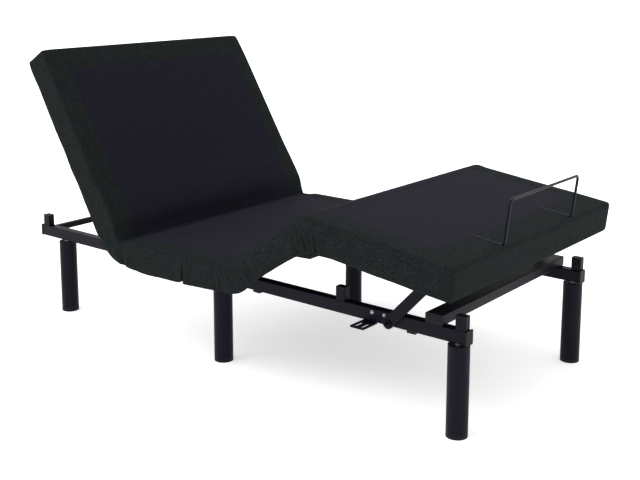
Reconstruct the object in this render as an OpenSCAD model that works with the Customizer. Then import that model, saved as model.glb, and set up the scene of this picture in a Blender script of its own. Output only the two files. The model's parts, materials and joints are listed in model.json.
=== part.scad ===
// Adjustable bed base, shown with the back and the knees raised.
// Millimetres, +Z up. X runs from the head end (-) to the foot end (+),
// Y across the bed. Z = 0 is the floor and X = 0 the middle of the raised bed.

/* [Deck] */
// width over the upholstery
deck_w = 950; // [760:5:1530]
// back section, hinge line to head end
back_l = 705; // [560:5:860]
// seat section, between its two hinge lines
seat_l = 513; // [400:1:620]
// thigh section, hinge line to knee line
thigh_l = 329; // [270:1:410]
// foot section, knee line to foot end
foot_l = 485; // [400:5:600]
// height of the flat deck's top face above the floor
deck_z = 360; // [320:5:460]
// depth of the upholstered sides
side_d = 81; // [70:1:100]
// foam and cover over the boards
pad_t = 8; // [6:1:12]
// deck boards
board_t = 12; // [10:1:16]
// padded side panels
skirt_t = 12; // [10:1:18]
// X of the hinge line between back and seat
hinge_x = -360; // [-500:1:-200]

/* [Raised pose] */
// back section above the horizontal
back_a = 58.5; // [5:0.5:60]
// thigh section above the horizontal
thigh_a = 36; // [5:0.5:38]
// foot section below the horizontal
foot_a = 6.7; // [0:0.1:12]
// lift arm above the horizontal
arm_a = 47; // [44:0.5:50]

/* [Base frame] */
// distance over the outside of the two side rails
base_w = 717; // [560:1:1200]
// side rail height and width
rail_h = 38; // [30:1:50]
rail_w = 30; // [25:1:40]
// wall of the rails and tubes
wall = 2; // [1.5:0.5:3]
// deck beyond the rails at the head end and at the foot end, bed flat
head_over = 156; // [80:1:220]
foot_over = 93; // [50:1:140]
// square-ended posts that carry the boards
post_x = 32; // [26:1:40]
post_y = 24; // [20:1:28]
// crossbar that lies on the rails at the foot end
bar_x = 53; // [40:1:60]
bar_z = 30; // [24:1:34]
// small crossbar between the rails at the head end
tie_s = 20; // [16:1:26]
// crossbars under the seat
beam_x = 30; // [26:1:36]

/* [Legs] */
leg_d = 60; // [45:1:70]
// gap between leg and rail, filled by the stud's collar
leg_gap = 5; // [3:1:8]
// glide under each leg
glide_h = 12; // [8:1:16]
// legs in from the rail ends, head and foot
leg_in_head = 125; // [90:1:170]
leg_in_foot = 28; // [28:1:60]

/* [Lift gear] */
// lift arm: width and thickness
arm_w = 32; // [26:1:38]
arm_t = 6; // [5:0.5:8]
// pin radius in the arm's upper eye and the eye's play around it
arm_pin_r = 4; // [3:0.5:5]
arm_play = 4; // [3.5:0.5:5]
// lever radius under the back and under the thigh
back_r = 85; // [75:1:95]
thigh_r = 105; // [95:1:115]
// lever pins
lever_pin_r = 6; // [5:0.5:7]
// head actuator and foot actuator, sideways position
head_act_y = 40; // [30:1:60]
foot_act_y = 166; // [150:1:172]

/* [Retainer bar] */
ret_d = 8; // [7:0.5:10]
ret_w = 410; // [340:2:460]
ret_h = 129; // [100:1:150]
// start of the bar's feet and line of its uprights, in from the foot end
ret_in = 113; // [80:1:120]
ret_up = 9; // [8:1:20]

/* [Hidden] */
$fn = 48;
e = 0.01;
axis_in = pad_t + board_t / 2 + 3;      // hinge line below the top face
axis_z = deck_z - axis_in;
b_hi = axis_in - pad_t;                 // board top over the hinge line
b_lo = b_hi - board_t;                  // board underside
s_lo = axis_in - side_d;                // lower edge of the side panels
rail_top = axis_z + b_lo - 40;
rail_z = rail_top - rail_h;
leg_h = rail_z - leg_gap;
thigh_x = hinge_x + seat_l;
knee = [thigh_x + thigh_l * cos(thigh_a), axis_z + thigh_l * sin(thigh_a)];
knee_flat = [thigh_x + thigh_l, axis_z];
rail_x0 = hinge_x - back_l + head_over;
rail_x1 = knee_flat[0] + foot_l - foot_over;
rail_yc = base_w / 2 - rail_w / 2;
leg_x0 = rail_x0 + leg_in_head;
leg_x1 = rail_x1 - leg_in_foot;
leg_xs = [leg_x0, (leg_x0 + leg_x1) / 2 - 44, leg_x1];
stud_r = 5;
play = 0.06;                            // room round pins, bolts and studs
hinge_pin_r = 3;
leaf_t = 3;
pivot_r = 6;                            // lift arm's lower pivot
mount_pin_r = 5;                        // actuator's base pin
rod_r = 10;
post_xs = [rail_x0 + 24, knee_flat[0] - 20, rail_x1 - 17];
bar_xc = rail_x1 - 97;
beam_xs = [hinge_x + 109, thigh_x - 81];
post_h = 39.5;
cap_t = 4;
hinge_y = 0.311 * deck_w;               // 295
frame_y = 0.207 * deck_w;               // 197
thigh_near_y = 0.121 * deck_w;          // 115, the thigh section's near bar
frame_s = 20;
cheek_in = 11;                          // half the space between a lever's cheeks
seam = 0.1;                             // between the panels of one section
knee_bend = thigh_a + foot_a;
mitre = -s_lo * tan((knee_bend + 5) / 2) + 1.5;

// lift arm: both the raised and the flat bed close the four-bar
arm_x = knee_flat[0] + 0.3124 * foot_l;
arm_o = [arm_x, rail_z + 10];
dir_arm = [cos(arm_a + foot_a), sin(arm_a + foot_a)];
dk = arm_o - knee;
p0 = [dk[0] * cos(foot_a) - dk[1] * sin(foot_a), dk[0] * sin(foot_a) + dk[1] * cos(foot_a)];
gv = knee_flat - arm_o + p0;
arm_l = -(gv * gv) / (2 * (gv * dir_arm));
arm_pin = p0 + arm_l * dir_arm;         // on the foot section, from the knee line
arm_y = base_w / 2 + 3;                 // inner face of the arm
bolt_xs = [arm_x - 58, arm_x - 17];
bolt_r = 4;
tab_x = arm_x - 67;
tab_t = 5;

// actuators: base pivot, and lever pin at rest
back_pin_a = -59;
thigh_pin_a = -110;
head_o = [beam_xs[1] + beam_x / 2 + 16, rail_top - 10];
foot_o = [beam_xs[0], rail_top - 22];
back_pin = [hinge_x + back_r * cos(back_pin_a - back_a), axis_z + back_r * sin(back_pin_a - back_a)];
thigh_pin = [thigh_x + thigh_r * cos(thigh_pin_a + thigh_a), axis_z + thigh_r * sin(thigh_pin_a + thigh_a)];
head_v = back_pin - head_o;
foot_v = thigh_pin - foot_o;
head_len = norm(head_v);
foot_len = norm(foot_v);
head_p = atan2(head_v[1], -head_v[0]);  // slope of the head actuator, seen towards -X
foot_p = atan2(foot_v[1], foot_v[0]);
head_tube = head_len - 150;
foot_tube = foot_len - 118;

steel = [0.12, 0.12, 0.14];
zinc = [0.78, 0.79, 0.8];
border = [0.16, 0.18, 0.18];
panel = [0.14, 0.13, 0.17];
felt = [0.1, 0.1, 0.1];
plastic = [0.08, 0.08, 0.09];

// ---------- helpers ----------
module both(y) for (s = [-1, 1]) translate([0, s * y, 0]) children();

// box from corner to corner
module bx(x0, x1, y0, y1, z0, z1) translate([x0, y0, z0]) cube([x1 - x0, y1 - y0, z1 - z0]);

// rounded rectangle, centred
module rr(a, b, r) {
    square([a - 2 * r, b], center = true);
    square([a, b - 2 * r], center = true);
    for (i = [-1, 1], j = [-1, 1]) translate([i * (a / 2 - r), j * (b / 2 - r)]) circle(r);
}

module tube2(a, b) difference() { rr(a, b, 3); rr(a - 2 * wall, b - 2 * wall, 1.5); }

// tubes along X, Y and Z with section (first, second axis), start and end
module tube_x(a, b, x0, x1) translate([x0, 0, 0]) rotate([90, 0, 90]) linear_extrude(x1 - x0) tube2(a, b);
module tube_y(a, b, y0, y1) translate([0, y1, 0]) rotate([90, 0, 0]) linear_extrude(y1 - y0) tube2(a, b);
module tube_z(a, b, z0, z1) translate([0, 0, z0]) linear_extrude(z1 - z0) tube2(a, b);

// cylinder along Y between two faces
module cyl_y(r, y0, y1) translate([0, y1, 0]) rotate([90, 0, 0]) cylinder(r = r, h = y1 - y0);

// flat bar lying in an XZ plane: outline extruded from y0 to y1
module plate(y0, y1) translate([0, y1, 0]) rotate([90, 0, 0]) linear_extrude(y1 - y0) children();

// round-ended bar in 2D from the origin, length l, width w, direction a
module bar2(l, w, a) rotate(a) {
    circle(w / 2);
    translate([0, -w / 2]) square([l, w]);
    translate([l, 0]) circle(w / 2);
}

// slot in 2D, standing across the direction a
module slot2(half, r, a) rotate(a) {
    square([2 * r, 2 * half], center = true);
    for (s = [-1, 1]) translate([0, s * half]) circle(r);
}

// section frames: children are drawn flat, measured from the hinge line
module on_back() translate([hinge_x, 0, axis_z]) rotate([0, back_a, 0]) children();
module on_thigh() translate([thigh_x, 0, axis_z]) rotate([0, -thigh_a, 0]) children();
module on_foot() translate([knee[0], 0, knee[1]]) rotate([0, foot_a, 0]) children();

// padded side panel pair, drawn from x0 to x1; m0 and m1 slope the lower corners
module side_pair(x0, x1, m0 = 0, m1 = 0)
    for (s = [-1, 1]) plate(s > 0 ? deck_w / 2 - skirt_t : -deck_w / 2, s > 0 ? deck_w / 2 : -deck_w / 2 + skirt_t)
        polygon([[x0, b_hi], [x0, 0], [x0 + m0, s_lo], [x1 - m1, s_lo], [x1, 0], [x1, b_hi]]);

// padded panel across the end of a section, between the side panels
module end_panel(x0) bx(x0, x0 + skirt_t, -deck_w / 2 + skirt_t + seam, deck_w / 2 - skirt_t - seam, s_lo, b_hi);

module board(x0, x1) bx(x0, x1, -deck_w / 2 + skirt_t, deck_w / 2 - skirt_t, b_lo, b_hi);
module pad(x0, x1) bx(x0, x1, -deck_w / 2, deck_w / 2, b_hi, axis_in);

// one hinge: barrel pieces at the given y spans and a leaf towards dir
module leaf(dir, spans, len, y0, y1) {
    difference() {
        union() {
            for (s = spans) cyl_y(6, s[0], s[1]);
            for (s = spans) bx(dir > 0 ? 0 : -9, dir > 0 ? 9 : 0, s[0], s[1], b_lo - leaf_t, b_lo);
            bx(dir > 0 ? 8.5 : -len, dir > 0 ? len : -8.5, y0, y1, b_lo - leaf_t, b_lo);
        }
        cyl_y(hinge_pin_r + play, y0 - 1, y1 + 1);
    }
}
module leaf_out(dir, len) both(hinge_y) leaf(dir, [[-30, -14.5], [14.5, 30]], len, -30, 30);
module leaf_in(dir, len) both(hinge_y) leaf(dir, [[-14, 14]], len, -30, 30);
module pin_pair() both(hinge_y) {
    cyl_y(hinge_pin_r, -30.5, 30.5);
    for (s = [-1, 1]) cyl_y(4.5, s > 0 ? 30.5 : -32.5, s > 0 ? 32.5 : -30.5);
}

// ---------- base frame ----------
module rail(s) difference() {
    translate([0, s * rail_yc, rail_z + rail_h / 2]) tube_x(rail_w, rail_h, rail_x0, rail_x1);
    for (x = leg_xs) translate([x, s * rail_yc, rail_z - 1]) cylinder(r = stud_r + play, h = wall + 2);
    for (x = bolt_xs) translate([x, 0, rail_top - 10])
        cyl_y(bolt_r + play, s > 0 ? base_w / 2 - 5 : -base_w / 2 - 5, s > 0 ? base_w / 2 + 5 : -base_w / 2 + 5);
    translate([arm_o[0], 0, arm_o[1]])
        cyl_y(pivot_r + play, s > 0 ? base_w / 2 - 5 : -base_w / 2 - 5, s > 0 ? base_w / 2 + 5 : -base_w / 2 + 5);
}
module rail_near() color(steel) rail(-1);
module rail_far() color(steel) rail(1);

// plastic plugs: rail ends, foot crossbar ends, post tops
module tube_caps() color(plastic) {
    for (s = [-1, 1], d = [-1, 1]) translate([d > 0 ? rail_x1 : rail_x0, s * rail_yc, rail_z + rail_h / 2])
        rotate([90, 0, 90]) translate([0, 0, d > 0 ? 0 : -cap_t]) linear_extrude(cap_t) rr(rail_w + 3, rail_h + 3, 3);
    for (s = [-1, 1]) translate([bar_xc, s > 0 ? base_w / 2 + 2.5 : -base_w / 2, rail_top + bar_z / 2])
        rotate([90, 0, 0]) linear_extrude(2.5) rr(bar_x, bar_z, 3);
    for (s = [-1, 1], x = post_xs) translate([x, s * (base_w / 2 - post_y / 2), rail_top + post_h - 3.5])
        linear_extrude(3.5) rr(post_x, post_y, 3);
}

module head_tie_bar() color(steel) translate([rail_x0 + 46, 0, rail_top - tie_s / 2])
    tube_y(tie_s, tie_s, -base_w / 2 + rail_w, base_w / 2 - rail_w);

module foot_crossbar() color(steel) translate([bar_xc, 0, rail_top + bar_z / 2])
    tube_y(bar_x, bar_z, -base_w / 2, base_w / 2);

module seat_crossbars() color(steel) for (x = beam_xs)
    translate([x, 0, rail_top + 20 - 1.5]) tube_y(beam_x, 37, -base_w / 2, base_w / 2);

module posts() color(steel) for (s = [-1, 1], x = post_xs)
    translate([x, s * (base_w / 2 - post_y / 2), 0]) tube_z(post_x, post_y, rail_top, rail_top + post_h - 3.5);

// slotted tabs under the rails, for tying a second base alongside
module side_tabs() color(steel) for (s = [-1, 1]) translate([tab_x, s * (base_w / 2 + 28), rail_z - tab_t])
    linear_extrude(tab_t) difference() {
        square([45, 66], center = true);
        for (x = [-10.5, 10.5]) translate([x, s * 7.5]) slot2(15.5, 5.5, 0);
    }

module rail_clips() color(plastic) for (s = [-1, 1], x = [thigh_x - 14, arm_x + 68])
    translate([x, s * rail_yc, rail_z - 3.5]) cube([27, 22, 7], center = true);

// domed bolts beside the arm pivots, in the outer rail wall
module rail_bolts() color(zinc) for (s = [-1, 1], x = bolt_xs) translate([x, s * base_w / 2, rail_top - 10])
    rotate([s > 0 ? -90 : 90, 0, 0]) {
        translate([0, 0, -4]) cylinder(r = bolt_r, h = 4 + e);
        cylinder(r = 5.5, h = 2);
        translate([0, 0, 2]) cylinder(r1 = 4.8, r2 = 2.8, h = 2);
    }

// ---------- legs ----------
module leg(i, s) translate([leg_xs[i], s * rail_yc, 0]) color(steel) difference() {
    translate([0, 0, glide_h]) cylinder(r = leg_d / 2, h = leg_h - glide_h);
    translate([0, 0, glide_h - 1]) cylinder(r = leg_d / 2 - wall, h = leg_h - glide_h - 3);
    cylinder(r = stud_r + play, h = leg_h + 1);
}
module leg_head_near() leg(0, -1);
module leg_head_far() leg(0, 1);
module leg_mid_near() leg(1, -1);
module leg_mid_far() leg(1, 1);
module leg_foot_near() leg(2, -1);
module leg_foot_far() leg(2, 1);

module at_legs() for (s = [-1, 1], x = leg_xs) translate([x, s * rail_yc, 0]) children();
module leg_glides() color(plastic) at_legs() {
    cylinder(r = leg_d / 2, h = glide_h);
    translate([0, 0, glide_h]) cylinder(r = leg_d / 2 - wall - 0.2, h = 14);
}
module leg_studs() color(zinc) at_legs() {
    translate([0, 0, leg_h - 22]) cylinder(r = stud_r, h = 22 + e);
    translate([0, 0, leg_h]) cylinder(r = 12, h = leg_gap);
    translate([0, 0, rail_z - e]) cylinder(r = stud_r, h = 20);
}

// ---------- seat ----------
module at_seat() translate([hinge_x, 0, axis_z]) children();
module seat_board() color(felt) at_seat() board(8, seat_l - 8);
module seat_pad() color(panel) at_seat() pad(11, seat_l - 7.5);
module seat_sides() color(border) at_seat() {
    side_pair(6.5, 0.588 * seat_l - 1.5);
    side_pair(0.588 * seat_l + 1.5, seat_l - 6.5);
}
module back_hinge_leaves() color(steel) at_seat() leaf_out(1, beam_xs[0] + beam_x / 2 - hinge_x);
module thigh_hinge_leaves() color(steel) translate([thigh_x, 0, axis_z]) leaf_out(-1, thigh_x - beam_xs[1] + beam_x / 2);
module deck_hinge_pins() color(zinc) {
    translate([hinge_x, 0, axis_z]) pin_pair();
    translate([thigh_x, 0, axis_z]) pin_pair();
}

// pivot bolts of the lift arms: shank in the rail wall, shoulder in the arm, domed nut outside
module arm_pivots() color(steel) for (s = [-1, 1]) translate([arm_o[0], s * base_w / 2, arm_o[1]])
    rotate([s > 0 ? -90 : 90, 0, 0]) {
        translate([0, 0, -4]) cylinder(r = pivot_r, h = 4 + e);
        cylinder(r = 10, h = 2.5);
        cylinder(r = pivot_r, h = 12);
        translate([0, 0, 9.5]) cylinder(r = 11, h = 2.5);
        translate([0, 0, 12]) cylinder(r1 = 9, r2 = 5, h = 2.5);
        translate([0, 0, 12]) cylinder(r = 7, h = 9, $fn = 6);
        translate([0, 0, 20]) sphere(5.5);
    }

// ---------- control box and actuator mounts ----------
box_x = hinge_x + 0.48 * seat_l;
box_y = -0.22 * deck_w;
module control_box() color(plastic) translate([box_x, box_y, axis_z + b_lo - 22])
    linear_extrude(22) rr(110, 150, 8);
module power_inlet() color(plastic) translate([box_x - 55, box_y, axis_z + b_lo - 11]) rotate([90, 0, -90])
    linear_extrude(10) difference() { rr(28, 18, 3); rr(22, 12, 1.5); }

// two ears a side of an actuator eye; drawn about the pivot
module ears(y, shape) for (s = [-1, 1]) plate(s > 0 ? y + 10.5 : y - 15.5, s > 0 ? y + 15.5 : y - 10.5) shape_ear(shape);
module shape_ear(shape) difference() {
    union() {
        circle(11);
        if (shape == 0) translate([-16, -11]) square([16, 22]);
        if (shape == 1) translate([-11, 0]) square([22, 22]);
    }
    circle(mount_pin_r + play);
}
module actuator_mounts() color(steel) {
    translate([head_o[0], 0, head_o[1]]) ears(head_act_y, 0);
    translate([foot_o[0], 0, foot_o[1]]) ears(foot_act_y, 1);
    for (s = [-1, 1]) translate([beam_xs[1] + beam_x / 2 + 2, head_act_y + s * 16.25, rail_top + 4.5])
        cube([4, 11.5, 51], center = true);
}
module mount_pins() color(zinc) for (p = [[head_o, head_act_y], [foot_o, foot_act_y]]) translate([p[0][0], p[1], p[0][1]]) {
    cyl_y(mount_pin_r, -16.5, 16.5);
    for (s = [-1, 1]) cyl_y(7.5, s > 0 ? 16.5 : -19, s > 0 ? 19 : -16.5);
}

// ---------- back section ----------
module back_board() color(felt) on_back() board(-back_l + skirt_t, -8);
module back_pad() color(panel) on_back() pad(-back_l, -11);
module back_sides() color(border) on_back() {
    side_pair(-back_l, -6.5);
    end_panel(-back_l);
}
module frame_bars(x0, x1, near_y = frame_y) for (y = [-near_y, frame_y])
    translate([0, y, b_lo - frame_s / 2]) tube_x(frame_s, frame_s, x0, x1);
module back_frame() color(steel) on_back() frame_bars(-back_l + 50, -20);
module back_hinge_straps() color(steel) on_back() leaf_in(-1, 80);

// torque tube between the two frame bars, with the actuator's lever: two cheeks and a pin
module torque_tube(x, pin, y, r, near_y = frame_y) {
    zr = b_lo - frame_s;
    d = pin - [x, zr];
    side = (r - 1) / norm(d) * [-d[1], d[0]];
    translate([x, 0, zr + frame_s / 2])
        tube_y(frame_s, frame_s, -near_y + frame_s / 2 + seam, frame_y - frame_s / 2 - seam);
    for (s = [-1, 1]) plate(s > 0 ? y + cheek_in : y - cheek_in - 5, s > 0 ? y + cheek_in + 5 : y - cheek_in) {
        translate(pin) circle(r);
        polygon([[x - 10, zr + e], [x + 10, zr + e], pin + side, pin - side]);
    }
    translate([pin[0], y, pin[1]]) cyl_y(lever_pin_r, -cheek_in - e, cheek_in + e);
}
module back_torque_tube() color(steel) on_back()
    torque_tube(-60, back_r * [cos(back_pin_a), sin(back_pin_a)], head_act_y, 14);

// ---------- thigh section ----------
module thigh_board() color(felt) on_thigh() board(8, thigh_l - 8);
module thigh_pad() color(panel) on_thigh() pad(7.5, thigh_l - 1.5);
module thigh_sides() color(border) on_thigh() side_pair(6.5, thigh_l - 1.5, 0, mitre);
module thigh_frame() color(steel) on_thigh() frame_bars(20, thigh_l - 60, thigh_near_y);
module thigh_hinge_straps() color(steel) on_thigh() leaf_in(1, 80);
module thigh_torque_tube() color(steel) on_thigh()
    torque_tube(60, thigh_r * [cos(thigh_pin_a), sin(thigh_pin_a)], foot_act_y, 14, thigh_near_y);
module knee_hinge_leaves() color(steel) on_thigh() translate([thigh_l, 0, 0]) leaf_out(-1, 70);
module knee_hinge_pins() color(zinc) on_thigh() translate([thigh_l, 0, 0]) pin_pair();

// ---------- foot section ----------
module foot_board() color(felt) on_foot() board(8, foot_l - skirt_t);
module foot_pad() color(panel) on_foot() pad(1.5, foot_l);
module foot_sides() color(border) on_foot() {
    side_pair(1.5, foot_l, mitre, 0);
    end_panel(foot_l - skirt_t);
}
module foot_frame() color(steel) on_foot() frame_bars(60, bar_xc - bar_x / 2 - 14 - knee_flat[0]);
module knee_hinge_straps() color(steel) on_foot() leaf_in(1, 80);

// hanging plates outside the lift arms, each with its pin and head
arm_mount_y = arm_y + arm_t + 3;
module arm_mounts() color(steel) on_foot() for (s = [-1, 1]) {
    plate(s > 0 ? arm_mount_y : -arm_mount_y - 5, s > 0 ? arm_mount_y + 5 : -arm_mount_y) {
        translate(arm_pin) circle(15);
        translate([arm_pin[0] - 15, arm_pin[1]]) square([30, b_lo - arm_pin[1]]);
    }
    translate([arm_pin[0], 0, arm_pin[1]]) {
        cyl_y(arm_pin_r, s > 0 ? base_w / 2 + 1.2 : -arm_mount_y - 1, s > 0 ? arm_mount_y + 1 : -base_w / 2 - 1.2);
        cyl_y(8, s > 0 ? arm_mount_y + 5 : -arm_mount_y - 9, s > 0 ? arm_mount_y + 9 : -arm_mount_y - 5);
    }
}

// bent rod: feet on the deck, uprights, top bar; small flat eye at each foot
ret_x0 = foot_l - ret_in;
ret_x1 = foot_l - ret_up;
rb = 12;
module bend(a0, a1) rotate_extrude(angle = a1 - a0) translate([rb, 0]) circle(ret_d / 2);
module retainer_bar() color(steel) on_foot() translate([0, 0, axis_in + ret_d / 2]) {
    for (s = [-1, 1]) translate([0, s * ret_w / 2, 0]) {
        translate([ret_x0, 0, 0]) rotate([0, 90, 0]) cylinder(r = ret_d / 2, h = ret_x1 - rb - ret_x0);
        translate([ret_x1 - rb, 0, rb]) rotate([90, 0, 0]) rotate([0, 0, -90]) bend(0, 90);
        translate([ret_x1, 0, rb]) cylinder(r = ret_d / 2, h = ret_h - 2 * rb);
        translate([ret_x1, -s * rb, ret_h - rb]) rotate([90, 0, s > 0 ? 90 : -90]) bend(0, 90);
        difference() {
            translate([ret_x0 - 20, -8, -ret_d / 2]) cube([24, 16, 3]);
            translate([ret_x0 - 10, 0, -ret_d]) cylinder(r = 3.06, h = ret_d);
        }
    }
    translate([ret_x1, -ret_w / 2 + rb, ret_h]) rotate([-90, 0, 0]) cylinder(r = ret_d / 2, h = ret_w - 2 * rb);
}
module retainer_screws() color(zinc) on_foot() for (s = [-1, 1]) translate([ret_x0 - 10, s * ret_w / 2, axis_in + 3]) {
    translate([0, 0, -2.9]) cylinder(r = 3, h = 2.91);
    cylinder(r = 7, h = 1.5);
    translate([0, 0, 1.5]) cylinder(r1 = 5.5, r2 = 3, h = 2.5);
}

// ---------- lift arms ----------
module arm(s) color(steel) translate([arm_o[0], 0, arm_o[1]]) plate(s > 0 ? arm_y : -arm_y - arm_t, s > 0 ? arm_y + arm_t : -arm_y)
    difference() {
        bar2(arm_l, arm_w, arm_a);
        circle(pivot_r + play);
        rotate(arm_a) translate([arm_l, 0]) circle(arm_pin_r + arm_play);
    }
module arm_near() arm(-1);
module arm_far() arm(1);

// ---------- actuators ----------
// drawn along +X from the base pivot; dir mirrors the head one by turning it
module on_head_act() translate([head_o[0], head_act_y, head_o[1]]) rotate([0, head_p, 0]) rotate([0, 0, 180]) children();
module on_foot_act() translate([foot_o[0], foot_act_y, foot_o[1]]) rotate([0, -foot_p, 0]) children();

module actuator_body(tail, tube_end, side) {
    difference() {
        union() {
            cyl_y(10, -9, 9);
            rotate([0, 90, 0]) cylinder(r = 8, h = tail + 1);
            bx(tail, tail + 62, side > 0 ? -24 : -80, side > 0 ? 80 : 24, -29, 29);
            translate([tail + 61, 0, 0]) rotate([0, 90, 0]) cylinder(r = 18, h = tube_end - tail - 61);
        }
        cyl_y(mount_pin_r + play, -12, 12);
        translate([tail + 40, 0, 0]) rotate([0, 90, 0]) cylinder(r = rod_r + 0.1, h = tube_end);
    }
}
module actuator_motor(tail, side) translate([tail + 62, side * 52, 0]) rotate([0, 90, 0]) {
    cylinder(r = 24, h = 96);
    translate([0, 0, 96]) cylinder(r = 15, h = 6);
}
module actuator_rod(len, start, half) {
    translate([start, 0, 0]) rotate([0, 90, 0]) cylinder(r = rod_r, h = len - start - 14);
    plate(-7, 7) difference() {
        translate([len, 0]) union() {
            slot2(half, 15, 0);
            translate([-16, -9]) square([6, 18]);
        }
        translate([len, 0]) slot2(half, lever_pin_r + 2, 0);
    }
}
head_tail = 58;
foot_tail = 30;
module head_actuator() color(plastic) on_head_act() actuator_body(head_tail, head_tube, -1);
module head_motor() color(plastic) on_head_act() actuator_motor(head_tail, -1);
module head_rod() color(zinc) on_head_act() actuator_rod(head_len, head_tail + 150, 7.5);
module foot_actuator() color(plastic) on_foot_act() actuator_body(foot_tail, foot_tube, 1);
module foot_motor() color(plastic) on_foot_act() actuator_motor(foot_tail, 1);
module foot_rod() color(zinc) on_foot_act() actuator_rod(foot_len, foot_tail + 130, 4);

rail_near();
rail_far();
tube_caps();
head_tie_bar();
foot_crossbar();
seat_crossbars();
posts();
side_tabs();
rail_clips();
rail_bolts();
leg_head_near();
leg_head_far();
leg_mid_near();
leg_mid_far();
leg_foot_near();
leg_foot_far();
leg_glides();
leg_studs();
seat_board();
seat_pad();
seat_sides();
back_hinge_leaves();
thigh_hinge_leaves();
deck_hinge_pins();
arm_pivots();
control_box();
power_inlet();
actuator_mounts();
mount_pins();
back_board();
back_pad();
back_sides();
back_frame();
back_torque_tube();
back_hinge_straps();
thigh_board();
thigh_pad();
thigh_sides();
thigh_frame();
thigh_torque_tube();
thigh_hinge_straps();
knee_hinge_leaves();
knee_hinge_pins();
foot_board();
foot_pad();
foot_sides();
foot_frame();
knee_hinge_straps();
arm_mounts();
retainer_bar();
retainer_screws();
arm_near();
arm_far();
head_actuator();
head_motor();
head_rod();
foot_actuator();
foot_motor();
foot_rod();
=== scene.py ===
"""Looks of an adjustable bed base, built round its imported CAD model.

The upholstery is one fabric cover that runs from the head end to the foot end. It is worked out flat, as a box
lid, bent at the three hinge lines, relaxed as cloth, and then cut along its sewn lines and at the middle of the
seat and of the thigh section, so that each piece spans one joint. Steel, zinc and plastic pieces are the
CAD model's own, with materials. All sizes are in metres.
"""

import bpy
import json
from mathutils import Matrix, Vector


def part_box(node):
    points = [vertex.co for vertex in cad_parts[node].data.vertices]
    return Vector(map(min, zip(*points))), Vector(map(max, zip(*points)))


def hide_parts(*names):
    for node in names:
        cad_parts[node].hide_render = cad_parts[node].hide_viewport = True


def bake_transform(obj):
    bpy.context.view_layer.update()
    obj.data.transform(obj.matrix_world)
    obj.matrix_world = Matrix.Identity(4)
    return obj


bl_info = {
    "name": "Adjustable Bed Base",
    "version": (1, 0, 0),
    "blender": (4, 5, 0),
    "location": "3D View > Sidebar > Bed Base",
    "description": "Upholstery, finishes and studio for an adjustable bed base",
    "category": "Add Mesh",
}

import json
import math

import bpy
import numpy as np
from mathutils import Matrix, Vector

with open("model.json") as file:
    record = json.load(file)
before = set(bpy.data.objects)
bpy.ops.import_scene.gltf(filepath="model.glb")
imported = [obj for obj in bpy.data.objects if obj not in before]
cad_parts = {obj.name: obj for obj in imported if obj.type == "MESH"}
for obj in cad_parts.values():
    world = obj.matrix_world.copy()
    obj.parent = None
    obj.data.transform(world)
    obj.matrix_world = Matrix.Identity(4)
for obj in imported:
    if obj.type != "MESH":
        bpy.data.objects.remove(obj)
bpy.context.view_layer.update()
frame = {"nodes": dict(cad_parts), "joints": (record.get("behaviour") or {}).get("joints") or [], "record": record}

JOINTS = {j["name"]: j for j in frame["joints"]}
COUPLING = {c["joint"]: c["ratio"] for c in frame["record"]["behaviour"]["couplings"]}


# ---------- what the frame says ----------
def turned(angle):
    """Unit vector in the XZ plane, angle above +X."""
    return np.array([math.cos(angle), math.sin(angle)])


def reach(node, origin, direction):
    """How far a CAD node goes from a point along a direction in the XZ plane."""
    co = np.array([v.co for v in frame["nodes"][node].data.vertices])
    return float(((co[:, [0, 2]] - origin) @ direction).max())


BACK_LINE = np.array(JOINTS["back_lift"]["pos_m"])[[0, 2]]
THIGH_LINE = np.array(JOINTS["thigh_lift"]["pos_m"])[[0, 2]]
KNEE_LINE = np.array(JOINTS["knee_fold"]["pos_m"])[[0, 2]]
BACK_ANGLE = math.radians(-JOINTS["back_lift"]["range_deg"][0])
THIGH_ANGLE = math.radians(-JOINTS["thigh_lift"]["range_deg"][0])
KNEE_ANGLE = -COUPLING["knee_fold"] * THIGH_ANGLE
FOOT_ANGLE = KNEE_ANGLE - THIGH_ANGLE
BACK_LENGTH = reach("back_pad", BACK_LINE, turned(math.pi - BACK_ANGLE))
SEAT_LENGTH = float(THIGH_LINE[0] - BACK_LINE[0])
THIGH_LENGTH = float(np.linalg.norm(KNEE_LINE - THIGH_LINE))
FOOT_LENGTH = reach("foot_pad", KNEE_LINE, turned(-FOOT_ANGLE))
HALF_WIDTH = float(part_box("seat_pad")[1].y)
TOP = float(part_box("seat_pad")[1].z - BACK_LINE[1])
BOTTOM = float(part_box("seat_sides")[0].z - BACK_LINE[1])
THIGH_S = SEAT_LENGTH
KNEE_S = SEAT_LENGTH + THIGH_LENGTH
END_S = KNEE_S + FOOT_LENGTH
# The slit in each side of the seat, and its upper end
SLIT_S = 0.588 * SEAT_LENGTH
SLIT_TOP = -0.004
# Where the cover's pieces part, in the middle of the seat and of the thigh section
CUT_SEAT = 0.45 * SEAT_LENGTH
CUT_THIGH = SEAT_LENGTH + 0.5 * THIGH_LENGTH


# ---------- properties ----------
def size_prop(name, description, default):
    return bpy.props.FloatProperty(
        name=name, description=description, default=default, unit="LENGTH", precision=4
    )


def colour_prop(name, description, default):
    return bpy.props.FloatVectorProperty(
        name=name, description=description, default=default, subtype="COLOR", size=3, min=0.0, max=1.0
    )


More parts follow.
